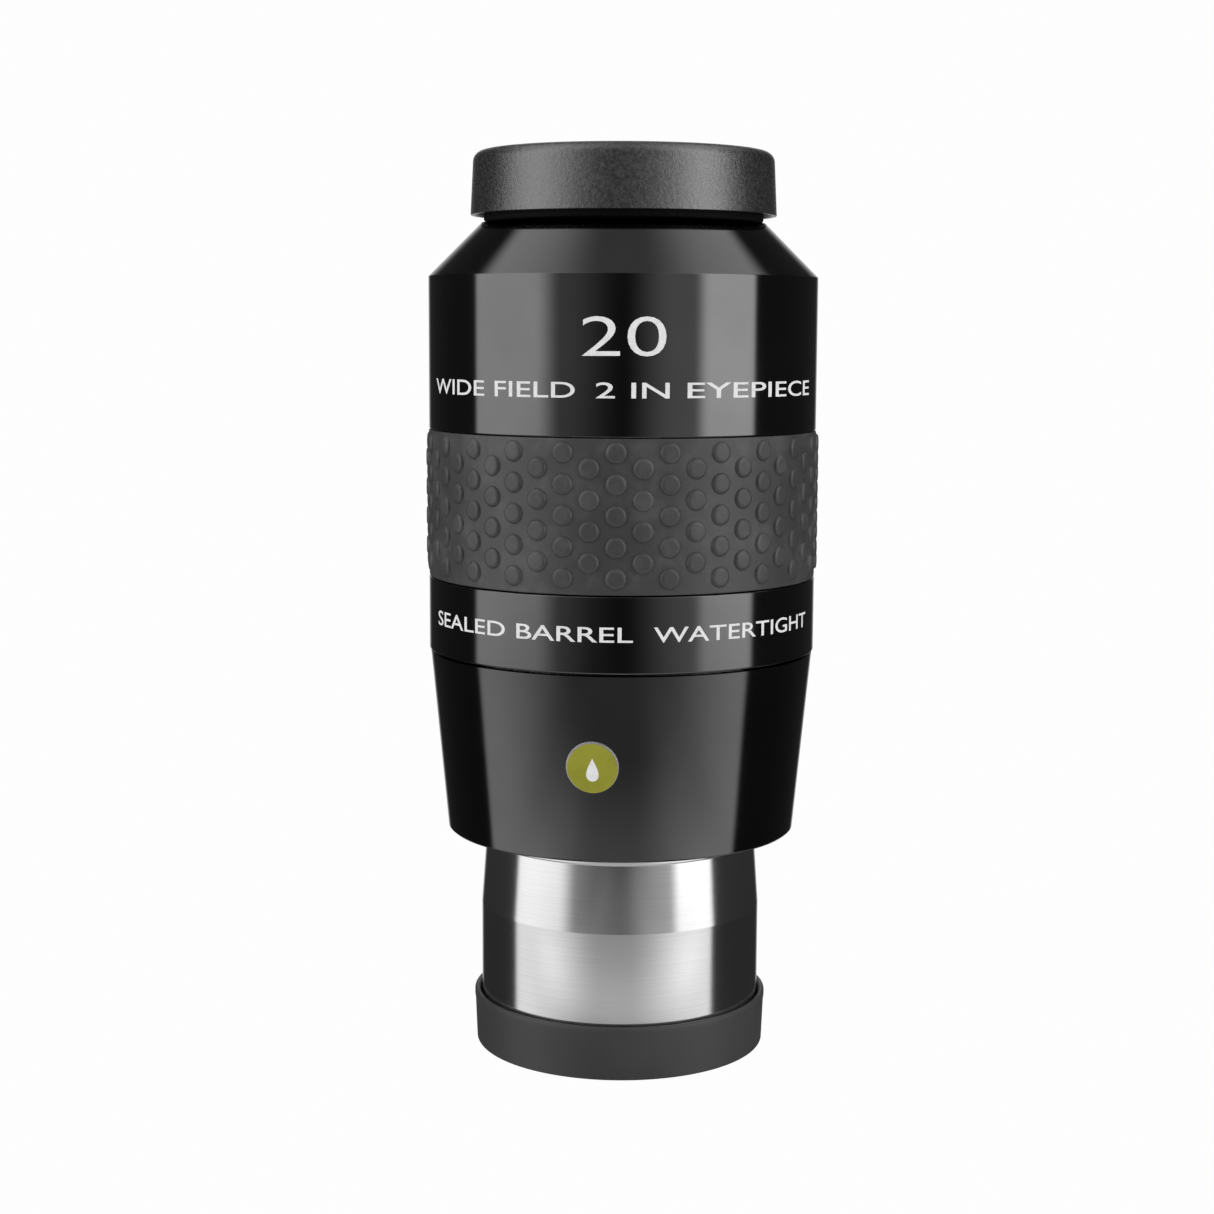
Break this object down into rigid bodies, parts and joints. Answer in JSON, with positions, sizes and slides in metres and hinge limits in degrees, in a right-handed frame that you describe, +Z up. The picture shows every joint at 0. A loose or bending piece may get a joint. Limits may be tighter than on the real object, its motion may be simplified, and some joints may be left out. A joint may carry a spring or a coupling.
{
  "type": "telescope eyepiece",
  "caption": "Wide-field telescope eyepiece for a 2 inch drawtube: stepped black housing, rubber grip, steel nosepiece, lens groups inside, a dust cap on each end.",
  "frame": {"origin": "middle of the lower dust cap's underside, on the optical axis", "axes": "+Z up along the optical axis towards the eye, -Y towards the side with the round badge"},
  "size_m": [0.0694, 0.0694, 0.1612],
  "materials": {
    "black_anodised": "gloss black anodised",
    "polished_steel": "turned and polished",
    "grip_rubber": "moulded, with raised round studs",
    "cap_rubber": "moulded, fine mottled grain",
    "cap_plastic": "soft moulded plastic",
    "seal_rubber": "smooth",
    "blackened_metal": "matt blackened",
    "badge_green": "satin paint",
    "lens_glass": "polished, multi-coated"
  },
  "bodies": {
    "lower_dust_cap": {"bottom_cap": "cap_plastic"},
    "eyepiece": {"nosepiece": "polished_steel", "nosepiece_seal": "seal_rubber", "lower_cell_lock_ring": "blackened_metal", "lower_lens_cell": "blackened_metal", "field_lens_retainer": "blackened_metal", "field_lens_seal": "seal_rubber", "field_lens_flint": "lens_glass", "field_lens_crown": "lens_glass", "lower_lens_spacer": "blackened_metal", "relay_lens": "lens_glass", "lower_housing": "black_anodised", "lower_housing_seal": "seal_rubber", "baffle_tube": "blackened_metal", "field_stop": "blackened_metal", "field_stop_retainer": "blackened_metal", "purge_plug": "polished_steel", "purge_seal": "seal_rubber", "purge_badge": "badge_green", "collar_ring": "black_anodised", "grip_sleeve": "grip_rubber", "upper_housing": "black_anodised", "upper_cell_lock_ring": "blackened_metal", "upper_lens_cell": "blackened_metal", "upper_cell_retainer": "blackened_metal", "rear_doublet_flint": "lens_glass", "rear_doublet_crown": "lens_glass", "rear_lens_spacer": "blackened_metal", "middle_doublet_flint": "lens_glass", "middle_doublet_crown": "lens_glass", "front_lens_spacer": "blackened_metal", "second_lens": "lens_glass", "eye_lens_seal": "seal_rubber", "eye_lens": "lens_glass", "eye_lens_retainer": "blackened_metal", "eyecup": "cap_rubber"},
    "upper_dust_cap": {"top_cap": "cap_rubber"}
  },
  "joints": [
    {"name": "eyepiece_lifts_out", "type": "slide", "parent": "lower_dust_cap", "child": "eyepiece", "axis": [0, 0, 1], "range_m": [0, 0.03]},
    {"name": "upper_cap_pulls_off", "type": "slide", "parent": "eyepiece", "child": "upper_dust_cap", "axis": [0, 0, 1], "range_m": [0, 0.03]}
  ]
}
